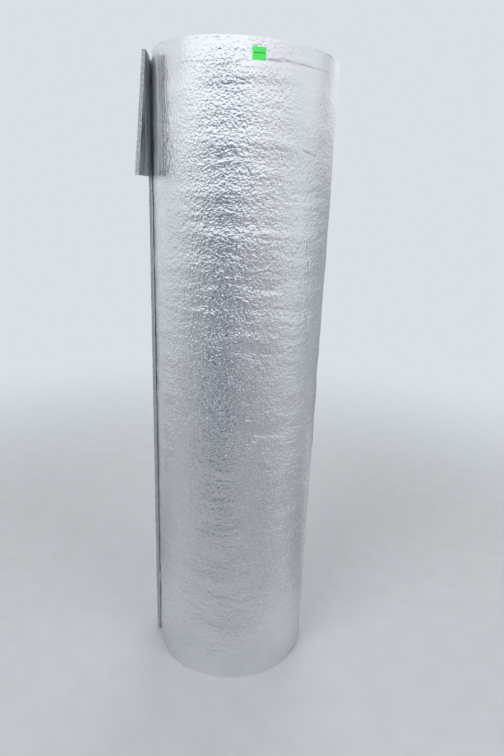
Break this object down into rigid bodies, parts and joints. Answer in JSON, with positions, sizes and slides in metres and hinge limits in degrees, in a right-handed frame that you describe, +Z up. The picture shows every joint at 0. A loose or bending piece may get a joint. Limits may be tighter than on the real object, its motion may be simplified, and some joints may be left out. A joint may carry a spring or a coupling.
{
  "type": "insulation roll",
  "caption": "Roll of double foil-faced bubble insulation that stands on its end, with an open bore, spiral turns on both ends and a loose outer end that springs off as a tongue near the top.",
  "frame": {"origin": "centre of the bore at the roll's lower end, on the floor", "axes": "+Z up along the bore, -Y towards the side that carries the sticker, -X towards the sheet's loose end"},
  "size_m": [0.4362, 0.4174, 1.524],
  "materials": {
    "foil_sheet": "crumpled bright metallised film over air bubbles",
    "sticker": "fluorescent green coated paper, satin"
  },
  "bodies": {
    "root": {"insulation_roll": "foil_sheet", "paper_sticker": "sticker"}
  },
  "joints": []
}
